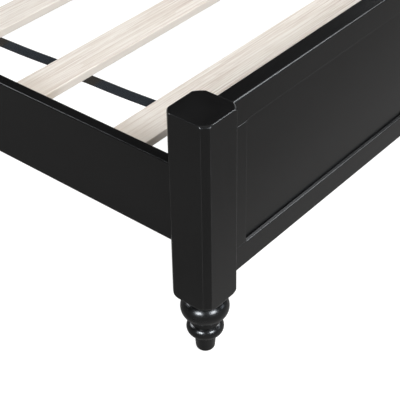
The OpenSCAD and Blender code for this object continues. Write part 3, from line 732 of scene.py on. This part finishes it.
# The floor's own light where the camera sees it, and where paint or metal mirrors it. The mirrored one is
# painted light: one level beside the bed, and in front of it a painted pool of light that grows from far to
# near.
FLOOR_GLOW = 0.97
FLOOR_GLOW_BESIDE = 0.06
FLOOR_GLOW_FAR, FLOOR_GLOW_NEAR = 0.02, 0.145
FAR_Y, NEAR_Y = -1.41, -1.18
BESIDE_X, FRONT_X = -1.00, -0.75

# Light of the surroundings by the sine of the elevation, from the horizon (0) to straight above (1)
SKY = ((0.0, 0.28), (0.15, 0.20), (0.38, 0.05), (0.75, 0.05), (0.84, 0.20), (1.0, 0.55))
SKY_TINT = (1.0, 1.01, 1.03)
WHITE = (1.0, 1.0, 1.0)


def make_floor():
    mesh = bpy.data.meshes.new("studio_floor")
    corners = [(x * FLOOR_REACH, y * FLOOR_REACH, 0) for x, y in ((-1, -1), (1, -1), (1, 1), (-1, 1))]
    mesh.from_pydata(corners, [], [(0, 1, 2, 3)])
    floor = bpy.data.objects.new("studio_floor", mesh)
    bpy.context.scene.collection.objects.link(floor)
    material = bpy.data.materials.new("pale_floor")
    n = Nodes(material, "OutputMaterial")
    clouds = n.add("TexNoise", {"Scale": FLOOR_CLOUDS}).outputs["Fac"]
    matt = n.add("BsdfDiffuse", {"Color": n.ramp(clouds, [(0.0, FLOOR_DARK), (1.0, FLOOR_PALE)])})
    place = n.add("TexCoord").outputs["Object"]
    # Painted light seen only in reflections: one level beside the bed, and a pool growing towards the
    # footboard in front
    in_front = n.spread(n.axis(place, "Y"), FAR_Y, NEAR_Y, FLOOR_GLOW_FAR, FLOOR_GLOW_NEAR)
    mirrored = n.spread(n.axis(place, "X"), BESIDE_X, FRONT_X, FLOOR_GLOW_BESIDE, in_front)
    rays = n.add("LightPath").outputs
    seen = n.math("MULTIPLY", rays["Is Camera Ray"], FLOOR_GLOW)
    glow = n.add("Emission", {"Strength": n.math("MULTIPLY_ADD", rays["Is Glossy Ray"], mirrored, seen)})
    both = n.add("AddShader", {0: matt.outputs[0], 1: glow.outputs[0]})
    n.give(n.output.inputs["Surface"], both.outputs[0])
    mesh.materials.append(material)


def make_world():
    world = bpy.data.worlds.new("soft_studio")
    bpy.context.scene.world = world
    n = Nodes(world, "OutputWorld")
    height = n.axis(n.add("TexCoord").outputs["Generated"], "Z")
    sky = n.ramp(height, [(place, tuple(level * tint for tint in SKY_TINT)) for place, level in SKY])
    colour = n.blend(n.add("LightPath").outputs["Is Camera Ray"], sky, WHITE)
    n.give(n.output.inputs["Surface"], n.add("Background", {"Color": colour}).outputs[0])


LAMPS_AIM = Vector((-0.77, -1.04, 0.30))
COOL, BLUE, WARM = (0.93, 0.965, 1.0), (0.78, 0.89, 1.0), (1.0, 0.985, 0.965)

# name, azimuth, elevation, distance, width, height, radiance, colour, lights matt surfaces, is mirrored
# Angles are in degrees, with azimuth 0 in front of the footboard and 90 at the bed's right, lengths in metres
LAMPS = [
    ("lamp_left", -79, 22, 4.6, 1.6, 1.2, 36.0, COOL, False, True),
    ("lamp_front", -10, 25, 4.6, 1.5, 1.2, 30.0, COOL, False, True),
    ("lamp_halo_left", -79, 22, 4.9, 3.0, 2.4, 3.0, BLUE, False, True),
    ("lamp_halo_front", -10, 25, 4.9, 3.0, 2.4, 3.0, BLUE, False, True),
    ("lamp_fill", -5, 41, 5.5, 3.0, 2.4, 13.0, WARM, True, False),
    ("lamp_above_right", 72, 57, 5.0, 2.2, 2.2, 10.0, WARM, True, False),
    ("lamp_rear_left", -160, 33, 5.5, 2.4, 1.7, 9.5, COOL, False, True),
    ("lamp_right", 62, 40, 5.0, 1.1, 1.9, 15.0, COOL, False, True),
    ("lamp_right_soft", 94, 52, 5.2, 2.6, 1.4, 1.6, COOL, False, True),
    ("lamp_right_front", 42, 15, 5.0, 1.4, 1.4, 2.5, BLUE, False, True),
    ("lamp_far_right", 107, 17, 5.0, 1.6, 1.2, 1.6, COOL, False, True),
    ("lamp_behind", 162, 19, 5.0, 2.6, 0.8, 24.0, WARM, True, False),
]


def make_lamps():
    for name, azimuth, elevation, distance, width, height, radiance, colour, matt, mirrored in LAMPS:
        a, e = math.radians(azimuth), math.radians(elevation)
        towards = Vector((math.sin(a) * math.cos(e), -math.cos(a) * math.cos(e), math.sin(e)))
        light = bpy.data.lights.new(name, "AREA")
        light.shape = "RECTANGLE"
        light.size, light.size_y = width, height
        light.energy = radiance * math.pi * width * height
        light.color = colour
        lamp = bpy.data.objects.new(name, light)
        lamp.location = LAMPS_AIM + towards * distance
        lamp.rotation_mode = "QUATERNION"
        lamp.rotation_quaternion = towards.to_track_quat("Z", "Y")
        lamp.visible_camera = False
        lamp.visible_diffuse, lamp.visible_glossy = matt, mirrored
        bpy.context.scene.collection.objects.link(lamp)


# The camera's place, turn in degrees and lens in mm, solved from the bed's straight edges
CAMERA_PLACE = (-1.83374, -1.93332, 1.34924)
CAMERA_TURN = (52.9806, 0.81565, -50.38163)
CAMERA_LENS, CAMERA_SENSOR = 105.4, 36.0
CAMERA_NEAR, CAMERA_FAR = 0.05, 200.0


def make_camera():
    data = bpy.data.cameras.new("camera")
    data.sensor_width = CAMERA_SENSOR
    data.lens = CAMERA_LENS
    data.clip_start, data.clip_end = CAMERA_NEAR, CAMERA_FAR
    camera = bpy.data.objects.new("camera", data)
    camera.location = CAMERA_PLACE
    camera.rotation_euler = [math.radians(angle) for angle in CAMERA_TURN]
    bpy.context.scene.collection.objects.link(camera)
    bpy.context.scene.camera = camera


# All together

bpy.context.scene.view_settings.view_transform = "Standard"
make_camera()
make_world()
make_lamps()
make_floor()
dress_frame()
make_strap(-1, "webbing_strap_left", "woven_strap_left")
make_strap(1, "webbing_strap_right", "woven_strap_right")
make_fasteners("countersunk_slat_screws", "slat_screws", countersunk_screw, "zinc_steel", SCREW_STEEL)
make_fasteners("countersunk_cleat_screws", "cleat_screws", countersunk_screw, "zinc_steel", SCREW_STEEL)
make_fasteners("countersunk_batten_screws", "batten_screws", countersunk_screw, "zinc_steel", SCREW_STEEL)
make_fasteners("pan_head_saddle_screws", "saddle_screws", pan_screw, "zinc_steel", SCREW_STEEL)
make_fasteners("socket_bracket_bolts", "bracket_bolts", furniture_bolt, "zinc_steel", SCREW_STEEL)
make_fasteners("hexagon_leg_bolts", "leg_bolts", hexagon_bolt, "zinc_steel", SCREW_STEEL)
make_fasteners("hexagon_leg_nuts", "leg_nuts", hexagon_nut, "zinc_steel", SCREW_STEEL, axis=0, head_up=True)
make_fasteners("domed_leg_glides", "leg_glides", glide, "nylon", NYLON, axis=2, head_up=False)
